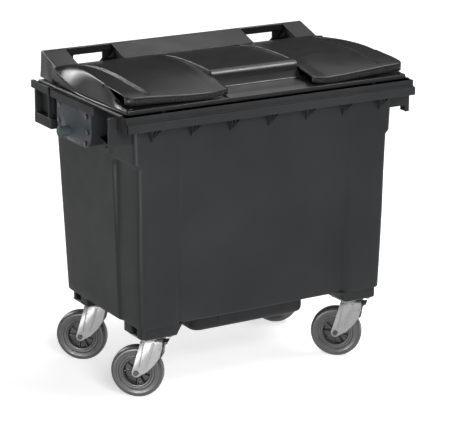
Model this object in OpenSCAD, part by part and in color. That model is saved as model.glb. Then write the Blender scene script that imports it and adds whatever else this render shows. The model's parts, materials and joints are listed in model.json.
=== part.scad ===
// Four-wheeled waste container of the 660 litre class: a moulded tub with a comb rim and
// two lifting trunnions, a domed one-piece lid hinged at the rear, and four swivel castors.
// Origin on the ground under the middle of the container, +Z up, front at -Y.

/* [Tub] */
// Half length of the tub at its lower edge
tub_bottom_half = 533; // [528:1:538]
// Half length of the tub at the rim
tub_top_half = 558; // [555:1:560]
// Distance of the front wall from the middle at the lower edge
front_bottom = 307; // [303:1:310]
// Distance of the front wall from the middle at the rim
front_top = 325; // [322:1:328]
// Distance of the rear wall from the middle at the lower edge
rear_bottom = 305; // [300:1:308]
// Distance of the rear wall from the middle at the rim
rear_top = 346; // [343:1:347]
// Height of the tub's lower edge above the ground
floor_z = 290; // [288:1:292]
// Height of the rim's upper face above the ground
rim_z = 1118; // [1116:1:1119]
// Thickness of the moulded walls
wall = 5; // [4:0.5:6]
// Depth of the set-back in the side walls at the front corners
corner_setback = 13; // [8:1:14]
// Height at which the corner set-back ends
setback_top = 915; // [900:1:930]
// Half length of the lowered middle of the floor
well_half = 252; // [245:1:256]
// Height of the lowered middle of the floor
well_z = 205; // [203:1:215]

/* [Comb rim] */
// Half length of the comb rim
comb_half = 616; // [612:1:618]
// Distance of the comb rim's front face from the middle
comb_y = 382; // [380:1:382]
// Distance between neighbouring comb ribs
rib_pitch = 163; // [160:1:165]
// Width of one comb rib at its top
rib_width = 43; // [38:1:46]

/* [Trunnions] */
// Radius of the trunnion pins
pin_r = 20; // [20:0.5:20]
// Distance of the pin ends from the middle
pin_tip = 674; // [670:1:678]
// Height of the pin axis above the ground
pin_z = 988; // [984:1:992]
// Distance of the pin axis behind the middle
pin_y = 50; // [46:1:54]

/* [Lid] */
// Height of the lid's crown above the ground
crown_z = 1207; // [1205:1:1208]
// Radius of the lid's arched surface
crown_r = 1450; // [1400:10:1500]
// Height of the rear rail, the highest point of the container
rail_z = 1222; // [1220:1:1224]
// Half width of the raised middle of the lid
hood_half = 183; // [180:1:186]
// Opening angle at which the lid is drawn, 0 when shut
lid_angle = 0; // [0:1:180]

/* [Castors] */
// Wheel radius
wheel_r = 100; // [100:1:100]
// Width of the tyre
tyre_w = 50; // [46:1:50]
// Distance of the swivel axes from the middle along the container
swivel_x = 443; // [440:1:446]
// Distance of the swivel axes from the middle across the container
swivel_y = 230; // [228:1:232]
// Distance from the swivel axis to the wheel axle
trail = 55; // [52:1:57]
// Direction in which all four castors trail, from the right side of the container
castor_heading = 139; // [0:1:359]

/* [Hidden] */
$fn = 64;

plastic = [0.17, 0.17, 0.18];
lid_plastic = [0.20, 0.20, 0.21];
paint = [0.28, 0.31, 0.33];
zinc = [0.76, 0.77, 0.78];
rubber = [0.35, 0.35, 0.36];
black = [0.05, 0.05, 0.05];

gap = 0.05;                      // radial clearance of a running fit
front_r = 25;                    // rounding of the tub's front corners
rear_r = 35;                     // rounding of the tub's rear corners
setback_y = 145;                 // the corner set-back starts this far in front of the middle
panel_top_z = 1000;              // upper end of the sunk front panel
panel_half = 366;                // half width of the sunk front panel
panel_depth = 20;                // depth of the sunk front panel at the lower edge
pad_z = 252;                     // underside of the castor pads
hood_x = 622;                    // outer face of the hoods over the trunnions
hood_front = -130;
hood_rear = 224;
trunnion_plate_x = 612;          // outer face of the trunnion base plates
trunnion_seat_x = 606;           // face of the tub the base plates are bolted to
trunnion_inner_x = 546;          // face of the seat inside the tub
trunnion_nut_x = 575;            // outer face of the captive nuts inside the seat
pin_root = 634;                  // the pin leaves its pyramid here
trunnion_bolt_r = 5;
shank_r = 18;                    // the pin is stepped down inside its base plate
handle_inner_x = 597;            // inner face of the rear handles, outside the path of the lid
handle_outer_x = 626;            // outer face of the rear handles
bracket_x = 649;                 // outer edge of the brackets at the front corners
bracket_y = -296;                // their distance from the middle
hinge_y = 366;                   // lid hinge axis
hinge_z = 1116;
hinge_pin_r = 6;
knuckle_r = 14;
hinge_x = 388;                   // middle of each hinge
lid_low_z = 1121;                // lower edge of the lid
lid_front_y = -346;
lid_rear_y = 378;
lid_half = 590;                  // half width of the arched lid surface
block_end = 578;                 // outer face of the lid's rear blocks
bay_outer = 486;                 // grip bays between the rear blocks
bay_inner = 289;
plate_z = 246;                   // underside of the castor plates
crown_top_z = 232;               // top of the fork crown
fork_gap = 29;                   // half gap between the fork legs
fork_t = 4;
axle_r = 6;
plug_r = 28;
castor_bolt_x = 52;              // half spacings of the castor plate's bolts
castor_bolt_y = 40;
castor_bolt_r = 5;
brake_x = -36;                   // brake pivot, measured from the swivel axis along the trail
brake_z = 200;

// ---------- shared shapes ----------

function arc(cx, cy, r, a0, a1, n) =
    [for (i = [0:n]) let (a = a0 + (a1 - a0) * i / n) [cx + r * cos(a), cy + r * sin(a)]];

// Distance of a wall from the middle at height z, from its values at the lower edge and the rim
function wall_at(low, high, z) = low + (high - low) * (z - floor_z) / (rim_z - floor_z);

module both_sides() {
    children();
    mirror([1, 0, 0]) children();
}

// Extrusion of a YZ outline along X, from x0 to x1
module along_x(x0, x1) {
    translate([x0, 0, 0]) rotate([90, 0, 90]) linear_extrude(x1 - x0) children();
}

// Extrusion of an XZ outline along Y, from y0 to y1
module along_y(y0, y1) {
    translate([0, y1, 0]) rotate([90, 0, 0]) linear_extrude(y1 - y0) children();
}

module x_cylinder(r, x0, x1, y, z) {
    translate([x0, y, z]) rotate([0, 90, 0]) cylinder(r = r, h = x1 - x0);
}

// Hexagon prism along X
module x_hex(across, x0, x1, y, z) {
    translate([x0, y, z]) rotate([0, 90, 0]) cylinder(r = across / sqrt(3), h = x1 - x0, $fn = 6);
}

// ---------- tub ----------

// Plan outline of the tub with its front and rear corners rounded
module tub_plan(half, front, rear, r_front, r_rear) {
    polygon(concat(arc(half - r_rear, rear - r_rear, r_rear, 0, 90, 7),
                   arc(-half + r_rear, rear - r_rear, r_rear, 90, 180, 7),
                   arc(-half + r_front, -front + r_front, r_front, 180, 270, 7),
                   arc(half - r_front, -front + r_front, r_front, 270, 360, 7)));
}

// Tapered block between heights z0 and z1, shrunk by skin on every side
module tub_block(z0, z1, skin, setback, front_limit) {
    hull() {
        for (z = [z0, z1]) {
            half = wall_at(tub_bottom_half, tub_top_half, z) - setback - skin;
            front = min(wall_at(front_bottom, front_top, z), front_limit) - skin;
            rear = wall_at(rear_bottom, rear_top, z) - skin;
            translate([0, 0, z == z0 ? z0 : z1 - 1])
                linear_extrude(1) tub_plan(half, front, rear, front_r, rear_r);
        }
    }
}

// The tub's outer form (skin 0) or the space inside it (skin = wall)
module tub_form(skin, z0, z1) {
    difference() {
        union() {
            tub_block(setback_top + skin, z1, skin, 0, 999);
            tub_block(z0, setback_top + skin + 1, skin, corner_setback, 999);
            tub_block(z0, setback_top + skin + 1, skin, 0, setback_y);
        }
        // sunk front panel, a wedge that deepens towards the lower edge
        along_x(-panel_half - skin, panel_half + skin)
            polygon([[-front_top - 60, floor_z - 2],
                     [-front_bottom + panel_depth + skin, floor_z - 2],
                     [-wall_at(front_bottom, front_top, panel_top_z) + skin, panel_top_z],
                     [-front_top - 60, panel_top_z]]);
    }
}

// Bent sheet of the comb rim along the front, seen from the side
module comb_profile() {
    polygon([[-front_top + wall, rim_z], [-362, rim_z], [-367, rim_z + 2], [-367, 1096],
             [-comb_y, 1093],
             [-comb_y, 1063], [-comb_y + wall, 1063], [-comb_y + wall, 1088], [-362, 1091],
             [-362, rim_z - 4], [-front_top + wall, rim_z - 6]]);
}

// One comb rib: two inclined webs and an upright one, cut off along a slope to the wall
module comb_rib(x) {
    web = 3;
    apex_z = 1008;
    top_z = 1066;
    translate([x, 0, 0]) intersection() {
        along_y(-comb_y + 2, -front_bottom) {
            difference() {
                polygon([[-rib_width / 2, top_z], [0, apex_z], [rib_width / 2, top_z]]);
                polygon([[-rib_width / 2 + web + 1, top_z + 1], [0, apex_z + 7],
                         [rib_width / 2 - web - 1, top_z + 1]]);
            }
            translate([-web / 2, apex_z + 3]) square([web, top_z - apex_z - 3]);
        }
        along_x(-rib_width, rib_width)
            polygon([[-comb_y + 2, top_z], [-comb_y + 2, top_z - 4], [-front_top + 2, apex_z],
                     [-front_bottom, apex_z], [-front_bottom, top_z]]);
    }
}

// Flat rim around the mouth, and the strips that stiffen its outer edge
module rim() {
    outer_y = 350;                   // clear of the lid's rear wall when the lid is fully open
    difference() {
        translate([-611, -362, rim_z - 6]) cube([1222, 362 + outer_y, 6]);
        translate([0, 0, rim_z - 10]) linear_extrude(20)
            tub_plan(tub_top_half - wall, front_top - wall, rear_top - wall, 20, 30);
    }
    along_x(-comb_half, comb_half) comb_profile();
    translate([-handle_inner_x, outer_y - 6, 1086]) cube([2 * handle_inner_x, 6, rim_z - 1086]);
    both_sides() {
        along_x(-comb_half, -comb_half + wall)
            polygon([[-comb_y, 1093], [-comb_y, 1063], [-300, 1063], [-300, rim_z],
                     [-367, rim_z], [-367, 1096]]);
    }
}

// Hood over a trunnion and its two end webs
module trunnion_hood() {
    translate([-hood_x, hood_front, 1080]) cube([6, hood_rear - hood_front, 34]);
    translate([-hood_x, hood_front, rim_z - 10]) cube([hood_x - 550, hood_rear - hood_front, 6]);
    for (y = [hood_front + 30, hood_rear - 6])
        along_y(y, y + 6)
            polygon([[-614, rim_z - 6], [-550, rim_z - 6], [-546, 955], [-614, 1018]]);
}

// Bracket at a front corner: an apron cut out beside the wall, a leg and a raised column
module corner_bracket() {
    leg_in = bracket_x - 18;
    along_y(bracket_y - 3, bracket_y + 3)
        polygon(concat([[-bracket_x, 1104], [-bracket_x, 978], [-leg_in, 978], [-leg_in, 995]],
                       arc(-leg_in + 8, 995, 8, 180, 90, 4),
                       [[-548, 1003], [-548, rim_z - 3], [-611, rim_z - 3], [-611, 1112],
                        [-bracket_x + 8, 1112]]));
    translate([-bracket_x, bracket_y - 3, 978]) cube([18, 37, 20]);
    along_y(bracket_y - 7, bracket_y + 3)
        polygon([[-bracket_x, 1104], [-bracket_x, 1064], [-613, 1064], [-613, 1112],
                 [-bracket_x + 8, 1112]]);
    // sloping rib on the wall in front of the trunnion seat
    along_x(-580, -546)
        polygon([[-80, 996], [-80, 990], [-165, 966], [-165, 972]]);
}

// Hand-hold at a rear corner: an open box with a bar along its outer edge
module rear_handle() {
    outer = handle_outer_x;
    inner = handle_inner_x;
    low = 955;
    translate([-outer, 232, 1084]) cube([14, comb_y - 232, 30]);
    translate([-outer, 340, low]) cube([outer - inner, 14, 140]);
    translate([-outer, 212, low]) cube([outer - inner, 142, 40]);
    translate([-outer, 232, low]) cube([outer - 548, 8, 1114 - low]);
    translate([-outer, 212, low]) cube([outer - 548, 120, 18]);
    translate([-inner - 6, 232, low]) cube([6, 122, 1114 - low]);
    translate([-inner, 324, low]) cube([inner - 540, 8, 1114 - low]);
}

// Outline shared by the trunnion's base plate and its seat on the tub
module trunnion_outline(inset) {
    half = 140 - inset;
    top = 1090 - inset;
    foot = 88 - inset;
    low = 938 + inset;
    translate([pin_y, 0])
        polygon([[half, top], [-half, top], [-half, 1000], [-half + 10, 968], [-half + 22, 952],
                 [-foot, low], [foot, low], [half - 22, 952], [half - 10, 968], [half, 1000]]);
}

function trunnion_bolt_points() =
    [for (s = [-1, 1]) for (p = [[108, 1060], [116, 1004], [97, 957]]) [pin_y + s * p[0], p[1]]];

module hinge_lugs() {
    for (x = [-hinge_x, hinge_x])
        for (dx = [-31, 17])
            difference() {
                union() {
                    x_cylinder(knuckle_r, x + dx, x + dx + 14, hinge_y, hinge_z);
                    along_x(x + dx, x + dx + 14)
                        polygon([[346, 1092], [346, hinge_z], [hinge_y, hinge_z],
                                 [hinge_y + 10, hinge_z - 9]]);
                }
                x_cylinder(hinge_pin_r, x + dx - 1, x + dx + 15, hinge_y, hinge_z);
            }
}

// Pad under a corner of the tub that carries a castor, ending in a slope towards the middle
module castor_pad(rear) {
    inner = 375;
    outer = 518;
    y0 = rear ? 150 : -front_bottom;
    y1 = rear ? 296 : -150;
    intersection() {
        along_y(y0, y1)
            polygon([[-inner + 27, floor_z + 2], [-inner, pad_z], [-outer, pad_z],
                     [-outer, floor_z + 2]]);
        translate([0, 0, pad_z - 1]) linear_extrude(floor_z + 4 - pad_z)
            tub_plan(outer, front_bottom - 3, 296, front_r, 40);
    }
}

function castor_places() =
    [for (sx = [-1, 1]) for (sy = [-1, 1]) [sx * swivel_x, sy * swivel_y]];

module at_castor_bolts() {
    for (c = castor_places())
        for (dx = [-castor_bolt_x, castor_bolt_x])
            for (dy = [-castor_bolt_y, castor_bolt_y])
                translate([c[0] + dx, c[1] + dy, 0]) children();
}

module tub() {
    color(plastic) difference() {
        union() {
            tub_form(0, floor_z, rim_z);
            rim();
            hinge_lugs();
            for (i = [-3:3]) comb_rib(i * rib_pitch);
            both_sides() {
                trunnion_hood();
                corner_bracket();
                rear_handle();
                castor_pad(false);
                castor_pad(true);
                along_x(-trunnion_seat_x, -trunnion_inner_x) trunnion_outline(3);
            }
            well(0, floor_z + 2);
        }
        difference() {
            tub_form(wall, floor_z + wall, rim_z + 1);
            both_sides()
                along_x(-tub_top_half, -trunnion_inner_x) trunnion_outline(3);
        }
        well(wall, floor_z + wall + 1);
        // blind bores and captive nut pockets for the trunnion bolts
        both_sides()
            for (p = trunnion_bolt_points()) {
                x_cylinder(trunnion_bolt_r + gap, -640, -trunnion_nut_x + 17, p[0], p[1]);
                x_hex(17, -trunnion_nut_x, -trunnion_nut_x + 8, p[0], p[1]);
            }
        // bores and captive nut pockets for the castor bolts
        at_castor_bolts() {
            translate([0, 0, pad_z - 1]) cylinder(r = castor_bolt_r + gap, h = 31);
            translate([0, 0, 268]) cylinder(r = 17 / sqrt(3), h = 8, $fn = 6);
        }
        translate([0, 0, well_z - 1]) cylinder(r = plug_r + gap, h = wall + 2);
    }
}

// Upright outline with rounded lower corners, for the lowered middle of the floor
module well_outline(half, low, top, r) {
    polygon(concat(arc(-half + r, low + r, r, 180, 270, 4), arc(half - r, low + r, r, 270, 360, 4),
                   [[half, top], [-half, top]]));
}

// Lowered middle of the floor, between the castors
module well(skin, top) {
    half_x = well_half - skin;
    half_y = 200 - skin;
    r = 22 - skin;
    intersection() {
        translate([0, 0, well_z]) linear_extrude(top - well_z)
            tub_plan(half_x, half_y, half_y, r, r);
        along_y(-half_y - 1, half_y + 1) well_outline(half_x, well_z + skin, top, r);
        along_x(-half_x - 1, half_x + 1) well_outline(half_y, well_z + skin, top, r);
    }
}

// ---------- trunnions ----------

module trunnion_plate() {
    difference() {
        union() {
            along_x(-trunnion_plate_x, -trunnion_seat_x) trunnion_outline(0);
            // pressed pyramid that carries the pin
            hull() {
                along_x(-trunnion_plate_x - 1, -trunnion_seat_x) translate([pin_y, pin_z])
                    polygon([[-35, 88], [35, 88], [95, 34], [95, -8], [48, -46], [-48, -46],
                             [-95, -8], [-95, 34]]);
                x_cylinder(pin_r + 5, -pin_root, -pin_root + 2, pin_y, pin_z, $fn = 32);
            }
        }
        x_cylinder(shank_r, -700, -500, pin_y, pin_z);
        for (p = trunnion_bolt_points())
            x_cylinder(trunnion_bolt_r + gap, -700, -500, p[0], p[1]);
    }
}

module trunnion_pin() {
    color(paint) {
        x_cylinder(shank_r, -pin_root - 1, -trunnion_seat_x - 0.5, pin_y, pin_z);
        x_cylinder(pin_r, -pin_tip + 2, -pin_root, pin_y, pin_z);
        translate([-pin_tip, pin_y, pin_z]) rotate([0, 90, 0])
            cylinder(r1 = pin_r - 2, r2 = pin_r, h = 2);
    }
}

module trunnion_bolts() {
    color(zinc) both_sides()
        for (p = trunnion_bolt_points()) {
            x_cylinder(trunnion_bolt_r, -trunnion_plate_x - 1, -trunnion_nut_x + 15, p[0], p[1]);
            x_cylinder(10, -trunnion_plate_x - 6, -trunnion_plate_x, p[0], p[1]);
        }
}

module trunnion_nuts() {
    color(zinc) both_sides()
        for (p = trunnion_bolt_points())
            difference() {
                x_hex(17, -trunnion_nut_x, -trunnion_nut_x + 8, p[0], p[1]);
                x_cylinder(trunnion_bolt_r, -trunnion_nut_x - 1, -trunnion_nut_x + 9, p[0], p[1]);
            }
}

// ---------- lid ----------

function crown_at(y) = crown_z - crown_r + sqrt(crown_r * crown_r - y * y);

// Upper line of the lid from the rear block's foot to the front edge of a flap
function flap_line(drop, y0, y1) =
    [for (i = [0:14]) let (y = y0 + (y1 - y0) * i / 14) [y, crown_at(y) - drop]];

// Side view of a flap with the finger gap under its front edge: a closed sheet, or its solid form
module flap_profile(solid) {
    outer = concat([[lid_front_y, lid_low_z], [lid_front_y, 1137], [-318, 1141], [-262, 1149],
                    [-262, 1167], [-334, 1158], [-340, 1162]],
                   flap_line(0, -334, 266),
                   [[300, 1174], [lid_rear_y, 1152], [lid_rear_y, lid_low_z]]);
    inner = concat([[lid_rear_y - wall, lid_low_z], [lid_rear_y - wall, 1148], [298, 1168]],
                   flap_line(wall, 262, -257),
                   [[-257, 1144], [-316, 1136], [lid_front_y + wall, 1132],
                    [lid_front_y + wall, lid_low_z]]);
    polygon(solid ? outer : concat(outer, inner));
}

// Side view of the raised middle: hood, rounded step and the lower deck in front of it
module hood_profile(solid) {
    outer = concat([[lid_front_y, lid_low_z], [lid_front_y, 1137], [-334, 1149], [-252, 1154]],
                   arc(-205, 1189, 26, 190, 90, 6),
                   [[-80, 1215], [60, 1209], [254, 1183], [300, 1174], [lid_rear_y, 1152],
                    [lid_rear_y, lid_low_z]]);
    inner = [[lid_rear_y - wall, lid_low_z], [lid_rear_y - wall, 1148], [298, 1168],
             [252, 1178], [60, 1204], [-80, 1210], [-203, 1210], [-222, 1198], [-229, 1170],
             [-246, 1149], [-332, 1144], [lid_front_y + wall, 1134],
             [lid_front_y + wall, lid_low_z]];
    polygon(solid ? outer : concat(outer, inner));
}

// Rear block of the lid from x0 to x1: a sloping top that rises to the rail
module rear_block(x0, x1) {
    along_x(x0, x1)
        polygon([[254, 1183], [370, rail_z], [lid_rear_y, rail_z], [lid_rear_y, 1140],
                 [lid_rear_y - wall, 1140], [lid_rear_y - wall, rail_z - wall - 2],
                 [371, rail_z - wall - 2], [262, 1180]]);
    for (x = [x0, x1 - wall])
        along_x(x, x + wall)
            polygon([[254, 1183], [370, rail_z], [lid_rear_y, rail_z], [lid_rear_y, 1146],
                     [270, 1172]]);
}

// Grip bay between two rear blocks: a bar at the rear and a window below it
module grip_bay() {
    translate([-bay_outer, lid_rear_y - 14, rail_z - 26])
        cube([bay_outer - bay_inner, 14, 26]);
    difference() {
        translate([-bay_outer, lid_rear_y - wall, 1140])
            cube([bay_outer - bay_inner, wall, rail_z - 1150]);
        translate([-447, lid_rear_y - 20, 1154]) cube([125, 40, 36]);
    }
}

module lid_hinge_knuckle(x) {
    difference() {
        union() {
            x_cylinder(knuckle_r, x - 15.9, x + 15.9, hinge_y, hinge_z);
            translate([x - 15.9, hinge_y, hinge_z]) cube([31.8, lid_rear_y - hinge_y, 34]);
        }
        x_cylinder(hinge_pin_r + gap, x - 17, x + 17, hinge_y, hinge_z);
    }
}

module lid() {
    color(lid_plastic) difference() {
        lid_shell();
        // clearance for the hinge lugs of the tub
        for (x = [-hinge_x, hinge_x])
            for (dx = [-33, 16])
                translate([x + dx, 340, lid_low_z - 5]) cube([17, 50, 29]);
    }
}

module lid_shell() {
    union() {
        both_sides() {
            difference() {
                union() {
                    along_x(-lid_half, -hood_half) flap_profile(false);
                    along_x(-lid_half, -lid_half + wall) flap_profile(true);
                }
                // the outer edge ends in front of the rear block's foot
                translate([-lid_half - 1, 300, 1100]) cube([lid_half - block_end, 100, 100]);
            }
            // closed side of the lid below the wing, widening to the rim
            difference() {
                along_y(-342, 290)
                    polygon([[-lid_half + 10, 1180], [-lid_half - 2, 1150], [-603, 1130],
                             [-603, lid_low_z], [-603 + wall, lid_low_z], [-584, 1145],
                             [-lid_half + 15, 1168]]);
                along_x(-620, -560) polygon([[-262, 1149], [-262, 1167], [-334, 1158],
                                             [-350, 1200], [-360, 1137], [-318, 1141]]);
            }
            along_x(-hood_half - wall, -hood_half) difference() {
                hood_profile(true);
                polygon([[-318, 1142], [-262, 1150], [-262, 1166], [-334, 1157],
                         [-360, 1158], [-360, 1141]]);
            }
            rear_block(-block_end, -bay_outer);
            grip_bay();
            lid_hinge_knuckle(-hinge_x);
        }
        along_x(-hood_half, hood_half) hood_profile(false);
        rear_block(-bay_inner, bay_inner);
    }
}

module hinge_pins() {
    color(zinc) for (x = [-hinge_x, hinge_x]) {
        x_cylinder(hinge_pin_r, x - 33, x + 33, hinge_y, hinge_z);
        x_cylinder(hinge_pin_r + 2, x - 36, x - 33, hinge_y, hinge_z);
    }
}

// Rubber pads that the shut lid comes down on
module lid_buffers() {
    color(rubber) both_sides()
        for (p = [[-450, lid_front_y + 3], [-600, 200]])
            translate([p[0], p[1], rim_z]) cylinder(r = 7, h = lid_low_z - rim_z - 0.3);
}

// ---------- drain ----------

module drain_plug() {
    color(black) {
        translate([0, 0, well_z - 8]) cylinder(r = 38, h = 6);
        translate([0, 0, well_z - 2]) cylinder(r = plug_r, h = wall + 10);
        translate([-30, -5, well_z - 20]) cube([60, 10, 13]);
    }
}

module drain_seal() {
    color(rubber) translate([0, 0, well_z - 2]) difference() {
        cylinder(r = 36, h = 1.8);
        translate([0, 0, -1]) cylinder(r = plug_r, h = 4);
    }
}

// ---------- castors ----------

module castor_bolts() {
    color(zinc) at_castor_bolts() {
        translate([0, 0, plate_z - 0.5]) cylinder(r = castor_bolt_r, h = 33);
        translate([0, 0, plate_z - 7]) cylinder(r = 17 / sqrt(3), h = 7, $fn = 6);
    }
}

module castor_nuts() {
    color(zinc) at_castor_bolts() translate([0, 0, 268]) difference() {
        cylinder(r = 17 / sqrt(3), h = 8, $fn = 6);
        translate([0, 0, -1]) cylinder(r = castor_bolt_r, h = 10);
    }
}

// The four castors differ in place only: sx is -1 on the left, sy is -1 at the front
module castor_at(sx, sy) {
    translate([sx * swivel_x, sy * swivel_y, 0]) rotate([0, 0, castor_heading]) children();
}

// Cylinder along a castor's axle direction
module y_cylinder(r, y0, y1, x, z) {
    translate([x, y1, z]) rotate([90, 0, 0]) cylinder(r = r, h = y1 - y0);
}

module castor_plate(sx, sy) {
    color(zinc) translate([sx * swivel_x, sy * swivel_y, 0]) difference() {
        union() {
            translate([-68, -55, plate_z]) cube([136, 110, pad_z - plate_z]);
            translate([0, 0, crown_top_z + 8.3]) cylinder(r = 38, h = plate_z - crown_top_z - 8.3);
        }
        translate([0, 0, plate_z - 20]) cylinder(r = 10, h = 40);
        for (dx = [-castor_bolt_x, castor_bolt_x])
            for (dy = [-castor_bolt_y, castor_bolt_y])
                translate([dx, dy, plate_z - 1]) cylinder(r = castor_bolt_r + gap, h = 8);
    }
}

module kingpin(sx, sy) {
    color(zinc) translate([sx * swivel_x, sy * swivel_y, 0]) {
        translate([0, 0, crown_top_z - fork_t - 0.3]) cylinder(r = 10, h = pad_z - crown_top_z + fork_t + 0.3);
        translate([0, 0, crown_top_z - fork_t - 8.3]) cylinder(r = 17, h = 8);
    }
}

module swivel_bearing(sx, sy) {
    color(zinc) translate([sx * swivel_x, sy * swivel_y, crown_top_z]) difference() {
        cylinder(r = 34, h = 8);
        translate([0, 0, -1]) cylinder(r = 20, h = 10);
    }
}

// Side outline of a fork leg, x along the trail
module fork_leg_outline() {
    boss = 17;
    polygon(concat([[35, crown_top_z], [-51, crown_top_z], [-51, 206], [-41, 170], [-20, 137], [10, 108]],
                   arc(trail, wheel_r, boss, 230, 370, 14)));
}

module fork(sx, sy) {
    color(zinc) castor_at(sx, sy) difference() {
        union() {
            for (y = [-fork_gap - fork_t, fork_gap])
                along_y(y, y + fork_t) fork_leg_outline();
            translate([-51, -fork_gap - fork_t, crown_top_z - fork_t])
                cube([86, 2 * (fork_gap + fork_t), fork_t]);
        }
        translate([0, 0, crown_top_z - 20]) cylinder(r = 10 + gap, h = 40);
        y_cylinder(axle_r, -60, 60, trail, wheel_r);
        y_cylinder(3, -60, 60, 0, 196);
        if (sy < 0) y_cylinder(4, -60, 60, brake_x, brake_z);
    }
}

module axle(sx, sy) {
    color(zinc) castor_at(sx, sy) {
        y_cylinder(axle_r, -44, fork_gap + fork_t + 1, trail, wheel_r);
        translate([trail, fork_gap + fork_t + 7, wheel_r]) rotate([90, 0, 0])
            cylinder(r = 18 / sqrt(3), h = 7, $fn = 6);
    }
}

module axle_nut(sx, sy) {
    color(zinc) castor_at(sx, sy) difference() {
        translate([trail, -fork_gap - fork_t, wheel_r]) rotate([90, 0, 0])
            cylinder(r = 18 / sqrt(3), h = 9, $fn = 6);
        y_cylinder(axle_r, -60, 0, trail, wheel_r);
    }
}

// Solid of revolution about the wheel's axle; the outline's x is the radius
module wheel_turned(sx, sy) {
    castor_at(sx, sy) translate([trail, 0, wheel_r]) rotate([90, 0, 0]) rotate_extrude($fn = 96)
        children();
}

module tyre(sx, sy) {
    h = tyre_w / 2;
    color(rubber) wheel_turned(sx, sy)
        polygon(concat([[68, -h + 4], [76, -h]], arc(wheel_r - 16, -h + 12, 16, -60, 0, 4),
                       arc(wheel_r - 16, h - 12, 16, 0, 60, 4), [[76, h], [68, h - 4]]));
}

module wheel_centre(sx, sy) {
    h = tyre_w / 2;
    color(black) difference() {
        wheel_turned(sx, sy)
            polygon([[11, -26], [22, -26], [22, -14], [50, -12], [50, -h + 2], [68, -h + 4],
                     [68, h - 4], [50, h - 2], [50, 12], [22, 14], [22, 26], [11, 26]]);
        castor_at(sx, sy) for (i = [0:8])
            translate([trail, 0, wheel_r]) rotate([0, i * 40, 0]) translate([36, 0, 0])
                rotate([90, 0, 0]) translate([0, 0, -40]) cylinder(r = 9, h = 80);
    }
}

module wheel_bearing(sx, sy) {
    color(zinc) wheel_turned(sx, sy)
        polygon([[axle_r + gap, -27], [11, -27], [11, 27], [axle_r + gap, 27]]);
}

module brake_pin(sx, sy) {
    color(zinc) castor_at(sx, sy) {
        y_cylinder(4, -fork_gap - fork_t - 2, fork_gap + fork_t + 2, brake_x, brake_z);
    }
}

// Foot pedal with the shoe that presses on the tyre
module brake_pedal(sx, sy) {
    half_w = 22;
    color(black) castor_at(sx, sy)
        difference() {
            along_y(-half_w, half_w)
                polygon([[-74, 226], [-72, 219], [-52, 214], [-46, 196], [-43, 168], [-36, 162],
                         [-30, 172], [-28, 206], [-40, 224]]);
            y_cylinder(4 + gap, -30, 30, brake_x, brake_z);
        }
}

tub();
color(paint) trunnion_plate();  // trunnion_plate_left
color(paint) mirror([1, 0, 0]) trunnion_plate();  // trunnion_plate_right
trunnion_pin();  // trunnion_pin_left
mirror([1, 0, 0]) trunnion_pin();  // trunnion_pin_right
trunnion_bolts();
trunnion_nuts();
hinge_pins();
lid_buffers();
drain_plug();
drain_seal();
castor_bolts();
castor_nuts();
translate([0, hinge_y, hinge_z]) rotate([-lid_angle, 0, 0]) translate([0, -hinge_y, -hinge_z]) lid();
castor_plate(-1, -1);  // castor_plate_fl
castor_plate(1, -1);  // castor_plate_fr
castor_plate(-1, 1);  // castor_plate_rl
castor_plate(1, 1);  // castor_plate_rr
kingpin(-1, -1);  // kingpin_fl
kingpin(1, -1);  // kingpin_fr
kingpin(-1, 1);  // kingpin_rl
kingpin(1, 1);  // kingpin_rr
swivel_bearing(-1, -1);  // swivel_bearing_fl
swivel_bearing(1, -1);  // swivel_bearing_fr
swivel_bearing(-1, 1);  // swivel_bearing_rl
swivel_bearing(1, 1);  // swivel_bearing_rr
fork(-1, -1);  // fork_fl
fork(1, -1);  // fork_fr
fork(-1, 1);  // fork_rl
fork(1, 1);  // fork_rr
axle(-1, -1);  // axle_fl
axle(1, -1);  // axle_fr
axle(-1, 1);  // axle_rl
axle(1, 1);  // axle_rr
axle_nut(-1, -1);  // axle_nut_fl
axle_nut(1, -1);  // axle_nut_fr
axle_nut(-1, 1);  // axle_nut_rl
axle_nut(1, 1);  // axle_nut_rr
tyre(-1, -1);  // tyre_fl
tyre(1, -1);  // tyre_fr
tyre(-1, 1);  // tyre_rl
tyre(1, 1);  // tyre_rr
wheel_centre(-1, -1);  // wheel_centre_fl
wheel_centre(1, -1);  // wheel_centre_fr
wheel_centre(-1, 1);  // wheel_centre_rl
wheel_centre(1, 1);  // wheel_centre_rr
wheel_bearing(-1, -1);  // wheel_bearing_fl
wheel_bearing(1, -1);  // wheel_bearing_fr
wheel_bearing(-1, 1);  // wheel_bearing_rl
wheel_bearing(1, 1);  // wheel_bearing_rr
brake_pin(-1, -1);  // brake_pin_fl
brake_pin(1, -1);  // brake_pin_fr
brake_pedal(-1, -1);  // brake_pedal_fl
brake_pedal(1, -1);  // brake_pedal_fr
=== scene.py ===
import json
import math

import bmesh
import bpy
from mathutils import Matrix, Vector


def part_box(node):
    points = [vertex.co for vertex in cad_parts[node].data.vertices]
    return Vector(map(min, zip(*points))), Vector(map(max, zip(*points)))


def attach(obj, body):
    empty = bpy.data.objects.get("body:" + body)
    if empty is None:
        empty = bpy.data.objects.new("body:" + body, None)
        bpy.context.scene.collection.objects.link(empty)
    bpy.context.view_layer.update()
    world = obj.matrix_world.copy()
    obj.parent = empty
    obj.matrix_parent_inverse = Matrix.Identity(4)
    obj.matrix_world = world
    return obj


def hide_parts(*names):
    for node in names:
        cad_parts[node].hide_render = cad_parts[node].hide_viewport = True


# A four-wheeled waste container. Its parts are drawn in millimetres, and make_piece turns them
# into metres. Materials, lamps, floor and camera are in metres. The origin is on the ground, with
# the front at -Y. In the names of pieces drawn through flipped, "left" is the +X side. The frame's
# own nodes and rear_block_left have their left at -X.

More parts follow.
